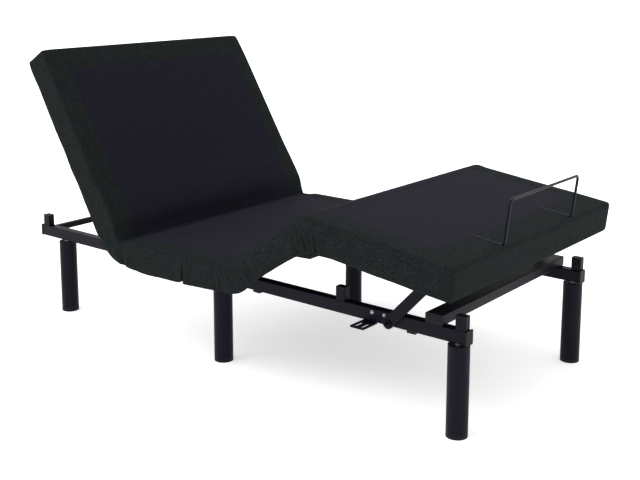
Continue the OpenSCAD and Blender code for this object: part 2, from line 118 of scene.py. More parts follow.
class CoverSettings(bpy.types.PropertyGroup):
    """Sizes and colours of the upholstery."""

    edge_radius: size_prop("Edge radius", "Rounding where the top turns down into the sides", 0.011)
    side_thickness: size_prop("Side thickness", "Thickness of the padded sides", 0.012)
    corner_radius: size_prop("Corner radius", "Rounding of the cover's corners seen from above", 0.015)
    side_border: size_prop("Side border", "Border fabric on the top, in from each side", 0.078)
    head_border: size_prop("Head border", "Border fabric on the top, in from the head end", 0.084)
    foot_border: size_prop("Foot border", "Border fabric on the top, in from the foot end", 0.098)
    roll_height: size_prop("Roll height", "Swell of the back's lower end over the crease", 0.019)
    crease_depth: size_prop("Crease depth", "Depth of the tucked line between back and seat", 0.008)
    knee_folds: size_prop("Knee folds", "Height of the folds in the sides under the knee", 0.0048)
    slack_cap: size_prop("Slack cap", "Furthest that the relaxed cloth may move", 0.006)
    border_colour: colour_prop("Border", "Woven border fabric", (0.0080, 0.0108, 0.0110))
    panel_colour: colour_prop("Panel", "Smooth panel fabric", (0.0078, 0.0072, 0.0138))


class FinishSettings(bpy.types.PropertyGroup):
    """Colours of the frame's finishes."""

    steel_colour: colour_prop("Powder coat", "Black powder coat on the steel", (0.0035, 0.0028, 0.0075))
    zinc_colour: colour_prop("Zinc", "Bright zinc plate", (0.34, 0.35, 0.37))
    plastic_colour: colour_prop("Plastic", "Moulded black plastic", (0.005, 0.0048, 0.0075))
    felt_colour: colour_prop("Felt", "Felt on the boards' undersides", (0.010, 0.010, 0.011))


def turn_prop(name, description, degrees):
    return bpy.props.FloatProperty(
        name=name, description=description, default=math.radians(degrees), unit="ROTATION"
    )


def number_prop(name, description, default):
    return bpy.props.FloatProperty(name=name, description=description, default=default, precision=4)


class StageSettings(bpy.types.PropertyGroup):
    """Camera, floor and light."""

    camera_at: bpy.props.FloatVectorProperty(
        name="Camera",
        description="Where the camera stands",
        default=(2.1663, -2.5811, 1.2416),
        subtype="TRANSLATION",
    )
    camera_yaw: turn_prop("Yaw", "Camera turned from +Y towards -X", 38.52)
    camera_pitch: turn_prop("Pitch", "Camera above the horizon", -10.06)
    camera_roll: turn_prop("Roll", "Camera turned about its line of sight", 0.13)
    lens: number_prop("Lens", "Focal length in millimetres", 57.90)
    shift_x: number_prop("Shift across", "Lens shift across the view, in view widths", -0.0036)
    shift_y: number_prop("Shift up", "Lens shift up the view, in view widths", -0.1469)
    floor_size: size_prop("Floor size", "Half the side of the square floor", 90.0)
    floor_colour: colour_prop("Floor", "Plain pale floor", (0.86, 0.86, 0.86))
    floor_glow: number_prop("Floor glow", "White light given off by the floor", 0.5)
    key_strength: number_prop("Key strength", "Strength of the key light", 1.6)
    key_angle: turn_prop("Key size", "Angle that the key light fills", 60)


# ---------- the cover, worked out flat ----------
def smooth(t):
    """Three t squared less two t cubed, with t held between 0 and 1."""
    t = np.clip(t, 0.0, 1.0)
    return t * t * (3 - 2 * t)


def hump(x, width):
    """Bell of height 1: e to the minus (x over width) squared."""
    return np.exp(-((x / width) ** 2))


def rounded_line(x, line):
    """A line through points (place, value), averaged over five places 12 mm apart to round its corners."""
    at, value = zip(*line)
    steps = (-0.024, -0.012, 0.0, 0.012, 0.024)
    return sum(np.interp(x + step, at, value) for step in steps) / len(steps)


def stations(stops, step_at):
    """Points from the first stop to the last that include every stop, with a spacing given by step_at(x)."""
    found = [stops[0]]
    for a, b in zip(stops[:-1], stops[1:]):
        n = max(1, round((b - a) / step_at((a + b) / 2)))
        found.extend(a + (b - a) * (i + 1) / n for i in range(n))
    return np.array(found)


# Spacing of the cover's grid
GRID_STEP = 0.0135
BEND_STEP = 0.0055  # finer spacing beside the hinge lines
BEND_REACH = 0.075
SEAM_STOPS = np.array([-0.009, -0.004, 0.0, 0.004, 0.009])  # a sewn line with the grid drawn close to it
BEND_STOPS = np.array([-BEND_REACH, -0.03, 0.0, 0.03, BEND_REACH])
SLIT_STOPS = np.array([-0.03, -0.0025, 0.0025, 0.03])


def along_bed(c):
    """Stations along the cover: fine at the hinge lines, the sewn lines, the slit and the ends."""
    low, high = -BACK_LENGTH + c.edge_radius, END_S - c.edge_radius
    stops = {low, low + 0.007, low + 0.02, high - 0.02, high - 0.007, high, CUT_SEAT, CUT_THIGH}
    for s in (-BACK_LENGTH + c.head_border, END_S - c.foot_border):
        stops |= set((s + SEAM_STOPS).tolist())
    lines = np.array([0.0, THIGH_S, KNEE_S])
    for s in lines.tolist():
        stops |= set((s + BEND_STOPS).tolist())
    stops |= set((SLIT_S + SLIT_STOPS).tolist())
    return stations(sorted(stops), lambda x: BEND_STEP if np.abs(lines - x).min() < BEND_REACH else GRID_STEP)


# How far the top stands proud, at places along the cover
PUFF = (
    (-BACK_LENGTH, 0.004), (-0.60, 0.008), (-0.25, 0.006), (-0.03, 0.0), (0.03, 0.0),
    (THIGH_S - 0.12, 0.0), (THIGH_S - 0.045, 0.004), (THIGH_S, 0.013), (THIGH_S + 0.05, 0.013),
    (KNEE_S - 0.08, 0.008), (KNEE_S - 0.02, 0.010), (KNEE_S + 0.03, 0.008), (KNEE_S + 0.2, 0.006),
    (END_S - 0.1, 0.005), (END_S, 0.003),
)
# How far the hem is taken up from its even line, at places along the cover
HEM = (
    (-BACK_LENGTH, -0.009), (-0.30, -0.009), (-0.08, -0.010), (-0.03, 0.000), (0.015, 0.005), (0.06, -0.007),
    (0.12, -0.012), (SLIT_S, -0.008), (THIGH_S - 0.10, -0.004), (THIGH_S, 0.008), (THIGH_S + 0.10, 0.010),
    (KNEE_S - 0.10, 0.004), (KNEE_S, -0.009), (KNEE_S + 0.03, -0.009), (KNEE_S + 0.1, -0.005),
    (END_S - 0.1, -0.007), (END_S, -0.008),
)
# Depth and width of the sewn grooves
SEAM_DEPTH, SEAM_WIDTH = 0.0012, 0.003

# Ripples across the seat: place from the thigh line, half width, height
RIPPLES = ((-0.135, 0.011, 0.0018), (-0.098, 0.010, 0.0024), (-0.062, 0.009, 0.0022), (-0.030, 0.008, 0.0016))


def across_bed(c):
    """Stations across the cover's top, fine at the sewn lines and the edges."""
    edge, seam = HALF_WIDTH - c.edge_radius, HALF_WIDTH - c.side_border
    half = [0.0, *(seam + SEAM_STOPS).tolist(), edge - 0.02, edge - 0.007, edge]
    return stations(sorted({-y for y in half} | set(half)), lambda y: GRID_STEP)


# Parts of the lid's profile, from the top inwards
ON_TOP, ROLL, SIDE, HEM_TURN, INNER = range(5)


def lid_profile(c):
    """Rings below the top's edge as (outward, z, part).

    A quarter circle, a straight side, a half circle under it, and the straight inner side.
    """
    r, t = c.edge_radius, c.side_thickness / 2
    side_low = BOTTOM + t
    quarter = np.radians([22.5, 45, 67.5, 90])
    under = np.radians([45, 90, 135, 180])
    rings = [(r * math.sin(a), TOP - r * (1 - math.cos(a)), ROLL) for a in quarter]
    rings += [(r, z, SIDE) for z in np.linspace(TOP - r, side_low, 9)[1:]]
    rings += [(r - t * (1 - math.cos(a)), side_low - t * math.sin(a), HEM_TURN) for a in under]
    rings += [(r - 2 * t, z, INNER) for z in np.linspace(side_low, 0.0, 5)[1:]]
    return rings


def grid_outline(ns, ny):
    """Row and column numbers of an ns by ny grid's outer points, once round."""
    rows = [np.arange(ns - 1), np.full(ny - 1, ns - 1), np.arange(ns - 1, 0, -1), np.zeros(ny - 1, int)]
    columns = [np.zeros(ns - 1, int), np.arange(ny - 1), np.full(ns - 1, ny - 1), np.arange(ny - 1, 0, -1)]
    return np.concatenate(rows), np.concatenate(columns)


def rounded_outline(outline, s, y, c):
    """The outline with its corners slid onto quarter circles, and its outward normals.

    Near a corner, a point's direction turns from 0 to 90 degrees with its place along the corner, and it
    moves to that direction's point of a small circle, more so the nearer it is to the corner.
    """
    inner = max(c.corner_radius - c.edge_radius, 0.004)
    spread = 0.030  # how far from a corner points still move
    half = np.array([(s[-1] - s[0]) / 2, y[-1]])
    centre = np.array([(s[-1] + s[0]) / 2, 0.0])
    rel = outline - centre
    gap = half - np.abs(rel)
    near = (gap < spread).all(1)
    turn = 0.5 + 0.5 * (gap[:, 0] - gap[:, 1]) / spread
    angle = np.clip(turn, 0, 1) * math.pi / 2
    normal = np.stack([np.cos(angle), np.sin(angle)], 1)
    normal[~near] = np.where((gap[~near, :1] < gap[~near, 1:]), [[1.0, 0.0]], [[0.0, 1.0]])
    on_circle = half - inner + inner * normal
    pull = 1 - np.clip(gap.max(1) / spread, 0, 1)[:, None]
    target = np.minimum(np.abs(rel), half) * (1 - pull) + on_circle * pull
    on_end = gap[:, 0] < gap[:, 1]
    target[:, 0] = np.where(on_end, on_circle[:, 0], target[:, 0])
    target[:, 1] = np.where(~on_end, on_circle[:, 1], target[:, 1])
    target = np.where(near[:, None], target, np.abs(rel))
    sign = np.where(rel < 0, -1.0, 1.0)
    return centre + sign * target, sign * normal


def flat_cover(c):
    """Box lid with rounded edges: points (s, y, z), quads, a sewn coordinate and a part for each point.

    The top is a grid. Each ring below it repeats the grid's outline, moved outwards along the outline's
    normal and down, so that a profile is carried round the whole edge. The sewn coordinate is the place on
    the cloth laid flat: a point's place on the top, or beyond the outline by the length of the profile.
    """
    s, y = along_bed(c), across_bed(c)
    ns, ny = len(s), len(y)
    grid = np.stack(np.meshgrid(s, y, indexing="ij"), -1)
    i, j = grid_outline(ns, ny)
    outline, normal = rounded_outline(grid[i, j], s, y, c)
    grid[i, j] = outline
    points = [np.concatenate([grid.reshape(-1, 2), np.full((ns * ny, 1), TOP)], 1)]
    sewn = [grid.reshape(-1, 2).copy()]
    parts = [np.full(ns * ny, ON_TOP)]
    rings = lid_profile(c)
    last, travelled = np.array([0.0, TOP]), 0.0
    for out, z, part in rings:
        here = np.array([out, z])
        travelled += float(np.linalg.norm(here - last))
        last = here
        points.append(np.concatenate([outline + normal * out, np.full((len(outline), 1), z)], 1))
        sewn.append(outline + normal * travelled)
        parts.append(np.full(len(outline), part))
    index = np.arange(ns * ny).reshape(ns, ny)
    quads = [np.stack([index[:-1, :-1], index[1:, :-1], index[1:, 1:], index[:-1, 1:]], -1).reshape(-1, 4)]
    upper = index[i, j]
    for k in range(len(rings)):
        lower = ns * ny + k * len(upper) + np.arange(len(upper))
        quads.append(np.stack([upper, lower, np.roll(lower, -1), np.roll(upper, -1)], 1))
        upper = lower
    return np.concatenate(points), np.concatenate(quads), np.concatenate(sewn), np.concatenate(parts)


def top_lift(s, y, c):
    """How far the top stands proud: each term is a product of bells, smooth steps and sines in s and y.

    A swell over each section, sewn grooves, the roll that the back's lower end makes over the crease, the
    crease, a low welt beside it, and ripples before the thigh line.
    """
    seam = HALF_WIDTH - c.side_border
    seam_head, seam_foot = -BACK_LENGTH + c.head_border, END_S - c.foot_border
    inside = smooth((HALF_WIDTH - np.abs(y)) / 0.06)
    middle = 1 - 0.62 * np.abs(y / HALF_WIDTH) ** 2.4
    lift = rounded_line(s, PUFF)
    for a, b in ((-BACK_LENGTH, 0.0), (0.0, KNEE_S), (KNEE_S, END_S)):
        lift += 0.0028 * np.sin(np.pi * np.clip((s - a) / (b - a), 0, 1)) ** 0.5 * inside
    between = (s > seam_head - 0.01) & (s < seam_foot + 0.01)
    lift -= SEAM_DEPTH * hump(np.abs(y) - seam, SEAM_WIDTH) * between
    ends = hump(s - seam_head, SEAM_WIDTH) + hump(s - seam_foot, SEAM_WIDTH)
    lift -= SEAM_DEPTH * ends * (np.abs(y) < seam + 0.01)
    lift += c.roll_height * smooth((s + 0.26) / 0.17) * smooth(-(s + 0.002) / 0.056) * middle
    lift -= c.crease_depth * hump(s, 0.0085) * (0.55 + 0.45 * middle)
    lift += 0.0030 * hump(s - 0.030, 0.018) * middle * inside
    wander = 0.006 * np.sin(7 * y + 1.0) + 0.003 * np.sin(19 * y)
    flank = smooth((HALF_WIDTH - np.abs(y)) / 0.25)
    for at, width, height in RIPPLES:
        lift += height * hump(s - THIGH_S - at - wander, width) * (0.25 + 0.75 * flank)
    return lift


def side_wave(s, z, side, depth, c):
    """How far the sides stand out: sines and bells in s, growing with the depth below the top.

    A fan of folds with two tucks under the knee, drawn folds at the other hinge lines, the sewn line that
    curves towards the head below the crease, short seams by the slit and the foot end, and a slow unevenness.
    """
    a = s - KNEE_S
    fan = np.sin(2 * np.pi * (a * (1.25 - 0.35 * depth) + 0.004 * side) / 0.027)
    wave = c.knee_folds * smooth((depth - 0.15) / 0.5) * hump(a, 0.050) * (0.35 + 0.65 * fan)
    wave -= 0.0075 * smooth((depth - 0.2) / 0.6) * (hump(a + 0.012, 0.004) + 0.6 * hump(a - 0.006, 0.0035))
    drawn = np.sin(2 * np.pi * (s - THIGH_S) / 0.036 + side) + 0.6 * np.sin(2 * np.pi * (s + 0.2 * z) / 0.021)
    wave += 0.0016 * depth * hump(s - THIGH_S - 0.06, 0.11) * drawn
    wave += 0.0022 * depth * hump(s + 0.02, 0.05) * np.sin(2 * np.pi * s / 0.040 + 0.5 * side)
    drop = (TOP - z) / 0.05
    wave -= 0.0045 * hump(s + 0.006 + 0.030 * drop**2, 0.0045) * smooth((1.15 - drop) / 0.5) * (drop > 0)
    near_seam = hump(s - SLIT_S - 0.103, 0.0035) * (side < 0) * smooth((0.005 - z) / 0.02)
    wave -= 0.0040 * depth * near_seam
    wave -= 0.0025 * depth * hump(s - END_S + 0.022, 0.004)
    return wave + 0.0007 * depth * (np.sin(31 * s + 2 * side) + np.sin(53 * s + side))


def dress(p, part, c):
    """The flat cover with its relief: top lifted, long sides waved, hem let down or taken up."""
    s, y, z = p.T
    side = np.where(y < 0, -1.0, 1.0)
    z = np.where(part <= ROLL, z + top_lift(s, y, c), z)
    depth = smooth((TOP - z) / (TOP - BOTTOM))
    long_side = smooth((np.abs(y) - HALF_WIDTH + c.edge_radius / 2) / 0.004) * (part >= ROLL)
    y = y + side * side_wave(s, z, side, depth, c) * long_side
    hem = depth * (rounded_line(s, HEM) + 0.0005 * (np.sin(17 * s + side) + np.sin(41 * s + 3 * y)))
    z = z + np.where((part >= ROLL) & (part < INNER), hem, 0.0)
    # the end panels stand a little proud of the boards' ends
    s = s - 0.004 * smooth((-s - 0.5) / 0.15) + 0.002 * smooth((s - KNEE_S - 0.3) / 0.15)
    return np.stack([s, y, z], 1)


# ---------- bending the flat cover to its raised shape ----------
# Each bend: its place on the flat cover, its angle (turning +X towards +Z), which side of it moves (+1 foot
# side, -1 head side), and half the length over which the turning is shared out.
BENDS = {
    "knee": (KNEE_S, -KNEE_ANGLE, 1, 0.040),
    "thigh": (THIGH_S, THIGH_ANGLE, 1, 0.070),
    "back": (0.0, -BACK_ANGLE, -1, 0.054),
}


def swung(x, z, angle):
    """Points (x, z) turned about the origin by an angle that takes +X towards +Z."""
    cs, sn = np.cos(angle), np.sin(angle)
    return x * cs - z * sn, x * sn + z * cs


def bent(p, name):
    """Turns points about one hinge line by a share w of its angle.
    """
    at, angle, moving, half = BENDS[name]
    x, z = p[:, 0] - at, p[:, 2]
    d = moving * turned(angle / 2)
    low, high = np.zeros(len(p)), np.ones(len(p))
    for _ in range(40):
        w = (low + high) / 2
        place = np.stack(swung(x, z, w * angle), 1) @ d
        more = smooth((place + half) / (2 * half)) > w
        low, high = np.where(more, w, low), np.where(more, high, w)
    x, z = swung(x, z, w * angle)
    return np.stack([at + x, p[:, 1], z], 1)


def raised(flat):
    """The flat cover bent at the knee, the thigh line and the back line, in the row frame."""
    p = bent(flat, "knee")
    x, z = swung(p[:, 0] - THIGH_S, p[:, 2], THIGH_ANGLE)
    rigid = np.stack([THIGH_S + x, p[:, 1], z], 1)
    far = flat[:, :1] > (THIGH_S + KNEE_S) / 2
    p = np.where(far, rigid, bent(p, "thigh"))
    p = np.where(flat[:, :1] < SEAT_LENGTH / 2, bent(flat, "back"), p)
    return p + [BACK_LINE[0], 0.0, BACK_LINE[1]]


def new_mesh(name, points, faces):
    """A mesh from an array of points and an array of faces."""
    mesh = bpy.data.meshes.new(name)
    mesh.from_pydata(points.tolist(), [], faces.tolist())
    mesh.update()
    return mesh


def linked(name, data):
    """A new object, in the scene, that shows a mesh, camera or light."""
    piece = bpy.data.objects.new(name, data)
    bpy.context.scene.collection.objects.link(piece)
    return piece


def values_of(items, name, width):
    """One property of a mesh's points, loops or UVs as an array of rows."""
    found = np.empty(len(items) * width)
    items.foreach_get(name, found)
    return found.reshape(-1, width)


def applied(piece):
    """Replaces a piece's mesh with the one that its modifiers give, and removes them."""
    mesh = bpy.data.meshes.new_from_object(piece.evaluated_get(bpy.context.evaluated_depsgraph_get()))
    piece.modifiers.clear()
    piece.data = mesh


RELAX_FRAMES = 18


def slack_mask(flat, part):
    """Where the cloth may relax: 1 in the sides beside the hinge lines, less on the top and along the hems."""
    s, z = flat[:, 0], flat[:, 2]
    depth = smooth((TOP - 0.004 - z) / 0.04)
    sides = depth * (hump(s - KNEE_S, 0.085) + hump(s - THIGH_S, 0.085) + 0.9 * hump(s, 0.08))
    tops = (1 - depth) * (0.25 * hump(s - KNEE_S, 0.05) + 0.45 * hump(s - THIGH_S + 0.03, 0.06))
    hems = 0.22 * depth
    mask = np.clip(sides + tops + hems, 0, 1)
    mask *= 1 - hump(s - CUT_SEAT, 0.012) - hump(s - CUT_THIGH, 0.012)
    mask[part == INNER] = 0.0
    return np.where(mask < 0.03, 0.0, mask)


def relax(piece, mask, cap):
    """Lets the cover settle as cloth that is cut a little too large, and keeps part of each point's move."""
    before = values_of(piece.data.vertices, "co", 3)
    held = np.round(1 - mask, 2)
    group = piece.vertex_groups.new(name="held")
    for level in np.unique(held):
        group.add(np.flatnonzero(held == level).tolist(), float(level), "REPLACE")
    cloth = piece.modifiers.new("cloth", "CLOTH").settings
    cloth.quality = 4
    cloth.mass = 0.3
    cloth.tension_stiffness = cloth.compression_stiffness = 12
    cloth.shear_stiffness = 6
    cloth.bending_stiffness = 0.35
    cloth.vertex_group_mass = "held"
    cloth.pin_stiffness = 0.6
    cloth.shrink_min = -0.045
    cloth.use_pressure = True
    cloth.uniform_pressure_force = 2.0
    cloth.effector_weights.gravity = 0.0
    scene = bpy.context.scene
    for step in range(1, RELAX_FRAMES + 1):
        scene.frame_set(step)
    applied(piece)
    scene.frame_set(1)
    move = values_of(piece.data.vertices, "co", 3) - before
    size = np.linalg.norm(move, axis=1, keepdims=True)
    move *= np.minimum(1.0, cap / np.maximum(size, 1e-9)) * mask[:, None]
    piece.data.vertices.foreach_set("co", (before + move).ravel())
    piece.vertex_groups.clear()


def cut_piece(source, name, keep, normals):
    """A new piece from the faces of source that keep marks, with source's own normals along its cut edges."""
    mesh = source.data
    faces = np.empty(len(mesh.loops), int)
    mesh.loops.foreach_get("vertex_index", faces)
    quads = faces.reshape(-1, 4)[keep]
    used, where = np.unique(quads, return_inverse=True)
    made = new_mesh(name, values_of(mesh.vertices, "co", 3)[used], where.reshape(-1, 4))
    uv = values_of(mesh.uv_layers["sewn"].data, "uv", 2).reshape(-1, 4, 2)[keep]
    made.uv_layers.new(name="sewn").data.foreach_set("uv", uv.ravel())
    made.polygons.foreach_set("use_smooth", np.ones(len(quads), bool))
    made.normals_split_custom_set_from_vertices(normals[used].tolist())
    return linked(name, made)


def slit(flat, relief, quads, part):
    """The slit in each side of the seat: the points with it drawn in, and the quads without its gap.

    Its two edges close together towards its upper end, and its lower corner on the head side is rounded.
    """
    middle = flat[quads].mean(1)
    gap = (np.abs(middle[:, 0] - SLIT_S) < 0.0024) & (middle[:, 2] < SLIT_TOP)
    gap &= (np.abs(middle[:, 1]) > 0.4) & (part[quads].max(1) >= SIDE)
    relief = relief.copy()
    away = relief[:, 0] - SLIT_S
    drop = np.clip((SLIT_TOP - relief[:, 2]) / 0.055, 0, 1)
    edge = (np.abs(away) < 0.0035) & (part >= ROLL) & (np.abs(relief[:, 1]) > 0.44)
    relief[edge, 0] = SLIT_S + np.sign(away[edge]) * (0.0009 + 0.0024 * drop[edge])
    rounding = 0.013 * np.exp(-np.abs(away) / 0.009) * (away < 0) * smooth((drop - 0.5) / 0.5)
    relief[:, 2] += np.where(part >= SIDE, rounding, 0.0)
    return relief, quads[~gap]


def build_cover(c, materials):
    """Makes the whole cover, relaxes and rounds it, and cuts it into a panel and a border for each stretch."""
    flat, quads, sewn, part = flat_cover(c)
    relief, quads = slit(flat, dress(flat, part, c), quads, part)
    mesh = new_mesh("cover", raised(relief), quads)
    mesh.uv_layers.new(name="sewn").data.foreach_set("uv", sewn[quads].ravel())
    cover = linked("cover", mesh)
    relax(cover, slack_mask(flat, part), c.slack_cap)
    cover.data.polygons.foreach_set("use_smooth", np.ones(len(quads), bool))
    rounder = cover.modifiers.new("rounder", "SUBSURF")
    rounder.levels = rounder.render_levels = 1
    applied(cover)
    normals = values_of(cover.data.vertices, "normal", 3)
    s, y = values_of(cover.data.uv_layers["sewn"].data, "uv", 2).reshape(-1, 4, 2).mean(1).T
    is_panel = (np.abs(y) < HALF_WIDTH - c.side_border) & (s > -BACK_LENGTH + c.head_border)
    is_panel &= s < END_S - c.foot_border
    stretches = (
        ("back", s < CUT_SEAT, ("base", "back"), "back", ["back"]),
        ("seat", (s > CUT_SEAT) & (s < CUT_THIGH), ("base", "thigh"), "thigh", ["seat", "thigh"]),
        ("foot", s > CUT_THIGH, ("thigh", "foot"), "knee", ["foot"]),
    )
    for stretch, here, bodies, bend, sections in stretches:
        for kind, mask, nodes in (("panel", is_panel, "pad"), ("border", ~is_panel, "sides")):
            piece = cut_piece(cover, f"{stretch}_{kind}", here & mask, normals)
            piece.data.materials.append(materials[kind])
            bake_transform(piece)
            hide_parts(*[f"{section}_{nodes}" for section in sections])
    bpy.data.objects.remove(cover)


# ---------- materials ----------
class Nodes:
    """Short way to lay out a node tree."""

    def __init__(self, tree):
        self.tree = tree

    def add(self, kind, **values):
        """A new node with its properties set."""
        node = self.tree.nodes.new(kind)
        for name, value in values.items():
            setattr(node, name, value)
        return node

    def join(self, a, b):
        """Links an output to an input."""
        self.tree.links.new(a, b)

    def math(self, operation, *values):
        """The output of a Math node, fed with numbers or other outputs."""
        node = self.add("ShaderNodeMath", operation=operation)
        for socket, value in zip(node.inputs, values):
            if isinstance(value, (int, float)):
                socket.default_value = value
            else:
                self.join(value, socket)
        return node.outputs[0]

    def weighed(self, *terms):
        """The sum of outputs, each times a number."""
        scaled = [self.math("MULTIPLY", output, weight) for output, weight in terms]
        total = scaled[0]
        for term in scaled[1:]:
            total = self.math("ADD", total, term)
        return total


def put(inputs, values):
    """Sets the default values of several inputs by name."""
    for name, value in values.items():
        inputs[name].default_value = value


def new_group(name, inputs, outputs):
    """A shader node group: its layout helper, its inputs' sources and its outputs' ends."""
    group = bpy.data.node_groups.new(name, "ShaderNodeTree")
    for label, kind, default in inputs:
        socket = group.interface.new_socket(label, in_out="INPUT", socket_type=kind)
        if default is not None:
            socket.default_value = default
    for label in outputs:
        group.interface.new_socket(label, in_out="OUTPUT", socket_type="NodeSocketFloat")
    n = Nodes(group)
    return n, n.add("NodeGroupInput").outputs, n.add("NodeGroupOutput").inputs


def noise(n, vector, scale, detail=2.0, rough=0.5):
    """Noise from 0 to 1, with scale cells to the metre."""
    node = n.add("ShaderNodeTexNoise")
    n.join(vector, node.inputs["Vector"])
    put(node.inputs, {"Scale": scale, "Detail": detail, "Roughness": rough})
    return node.outputs["Fac"]


def weave_group():
    """Plain weave on (s, round): warp and weft are sines that take turns on a chequer, with uneven yarn.

    Yarn is uneven along the thread, Cloudy is slow unevenness, and Fleck is lighter and darker tufts.
    """
    n, given, made = new_group(
        "plain weave",
        [("Vector", "NodeSocketVector", None), ("Threads", "NodeSocketFloat", 900.0)],
        ["Height", "Yarn", "Cloudy", "Fleck"],
    )
    scaled = n.add("ShaderNodeVectorMath", operation="SCALE")
    n.join(given["Vector"], scaled.inputs[0])
    n.join(given["Threads"], scaled.inputs["Scale"])
    split = n.add("ShaderNodeSeparateXYZ")
    n.join(scaled.outputs[0], split.inputs[0])
    ridges, cells = [], []
    for axis in ("X", "Y"):
        ridges.append(n.math("ABSOLUTE", n.math("SINE", n.math("MULTIPLY", split.outputs[axis], math.pi))))
        cells.append(n.math("FLOOR", split.outputs[axis]))
    chequer = n.math("FLOORED_MODULO", n.math("ADD", *cells), 2.0)
    other = n.math("SUBTRACT", 1.0, chequer)
    over = n.math("ADD", n.math("MULTIPLY", ridges[0], chequer), n.math("MULTIPLY", ridges[1], other))
    stretched = n.add("ShaderNodeVectorMath", operation="MULTIPLY")
    n.join(given["Vector"], stretched.inputs[0])
    stretched.inputs[1].default_value = (1.0, 9.0, 1.0)
    slub = noise(n, stretched.outputs[0], 140.0, 3.0, 0.6)
    n.join(n.math("ADD", over, n.math("MULTIPLY", slub, 0.6)), made["Height"])
    n.join(slub, made["Yarn"])
    n.join(noise(n, given["Vector"], 34.0, 4.0, 0.6), made["Cloudy"])
    fleck = n.math("SUBTRACT", noise(n, given["Vector"], 170.0, 3.0, 0.75), 0.5)
    n.join(n.math("ADD", n.math("MULTIPLY", fleck, 2.0), 0.5), made["Fleck"])
    return n.tree


def grain_group():
    """Fine surface grain on Object coordinates: a small bumpy height and a slow cloudy mask."""
    wanted = ["Fine", "Coarse", "Cloudy"]
    n, given, made = new_group("surface grain", [("Vector", "NodeSocketVector", None)], wanted)
    n.join(noise(n, given["Vector"], 1400.0, 2.0), made["Fine"])
    n.join(noise(n, given["Vector"], 260.0, 3.0), made["Coarse"])
    n.join(noise(n, given["Vector"], 9.0, 4.0, 0.6), made["Cloudy"])
    return n.tree


def tint(n, base, low, high, factor):
    """Base colour scaled from low to high as factor goes from 0.3 to 0.7."""
    ramp = n.add("ShaderNodeValToRGB")
    for element, place, share in zip(ramp.color_ramp.elements, (0.3, 0.7), (low, high)):
        element.position = place
        element.color = (*[share * x for x in base], 1.0)
    n.join(factor, ramp.inputs["Fac"])
    return ramp.outputs["Color"]


def ranged(n, value, low, high):
    """A value from low to high as the given one goes from 0.3 to 0.7."""
    node = n.add("ShaderNodeMapRange")
    n.join(value, node.inputs["Value"])
    put(node.inputs, {"From Min": 0.3, "From Max": 0.7, "To Min": low, "To Max": high})
    return node.outputs["Result"]


def bump(n, height, distance, strength):
    """A normal from a height."""
    node = n.add("ShaderNodeBump")
    put(node.inputs, {"Distance": distance, "Strength": strength})
    n.join(height, node.inputs["Height"])
    return node.outputs["Normal"]


def new_material(name):
    """A material, its layout helper and its shader's inputs."""
    material = bpy.data.materials.new(name)
    material.use_nodes = True
    n = Nodes(material.node_tree)
    return material, n, n.tree.nodes["Principled BSDF"].inputs


def with_group(n, group, vector):
    """A group node fed with a vector."""
    node = n.add("ShaderNodeGroup", node_tree=group)
    n.join(vector, node.inputs["Vector"])
    return node


def cloth_material(name, weave, threads, plain):
    """The start of a fabric: its material, layout helper, shader's inputs and the weave's outputs."""
    material, n, bsdf = new_material(name)
    cloth = with_group(n, weave, n.add("ShaderNodeUVMap", uv_map="sewn").outputs["UV"])
    put(cloth.inputs, {"Threads": threads})
    put(bsdf, plain)
    return material, n, bsdf, cloth.outputs


def border_material(colour, weave):
    """Woven charcoal fabric with uneven, flecked yarn."""
    plain = {"Roughness": 0.95, "Specular IOR Level": 0.06, "Sheen Weight": 0.01, "Sheen Roughness": 0.5}
    material, n, bsdf, cloth = cloth_material("border fabric", weave, 720.0, plain)
    tone = n.weighed((cloth["Yarn"], 0.25), (cloth["Cloudy"], 0.25), (cloth["Fleck"], 0.5))
    n.join(tint(n, colour, 0.3, 1.95, tone), bsdf["Base Color"])
    n.join(bump(n, cloth["Height"], 0.0005, 0.8), bsdf["Normal"])
    return material


def panel_material(colour, weave):
    """Smooth close-woven fabric with a slight sheen."""
    plain = {"Roughness": 0.85, "Specular IOR Level": 0.08, "Sheen Weight": 0.01, "Sheen Roughness": 0.4}
    material, n, bsdf, cloth = cloth_material("panel fabric", weave, 1700.0, plain)
    n.join(tint(n, colour, 0.85, 1.18, cloth["Cloudy"]), bsdf["Base Color"])
    n.join(bump(n, cloth["Height"], 0.00015, 0.6), bsdf["Normal"])
    return material


def skin_material(name, colour, grain, mask, shades, rough, relief, plain):
    """A hard finish: colour and roughness follow one of the grain's masks, and another gives the bump.

    shades is the colour's share at the mask's low and high ends, rough the roughness there or None where it
    is plain, relief the bump's mask, distance and strength, and plain the inputs that are the same all over.
    """
    material, n, bsdf = new_material(name)
    skin = with_group(n, grain, n.add("ShaderNodeTexCoord").outputs["Object"]).outputs
    n.join(tint(n, colour, *shades, skin[mask]), bsdf["Base Color"])
    if rough:
        n.join(ranged(n, skin[mask], *rough), bsdf["Roughness"])
    height, distance, strength = relief
    n.join(bump(n, skin[height], distance, strength), bsdf["Normal"])
    put(bsdf, plain)
    return material


def powder_material(name, colour, grain, gloss):
    """Black powder coat with orange peel, from satin at gloss 0 to shiny at gloss 1."""
    rough = (0.38 - 0.2 * gloss, 0.5 - 0.25 * gloss)
    plain = {"Specular IOR Level": 0.09 + 0.12 * gloss}
    return skin_material(name, colour, grain, "Cloudy", (0.85, 1.2), rough, ("Coarse", 0.00018, 0.5), plain)


def zinc_material(colour, grain):
    """Bright zinc plate."""
    relief = ("Fine", 0.00005, 0.5)
    return skin_material(
        "zinc plated steel", colour, grain, "Coarse", (0.85, 1.1), (0.24, 0.36), relief, {"Metallic": 1.0}
    )


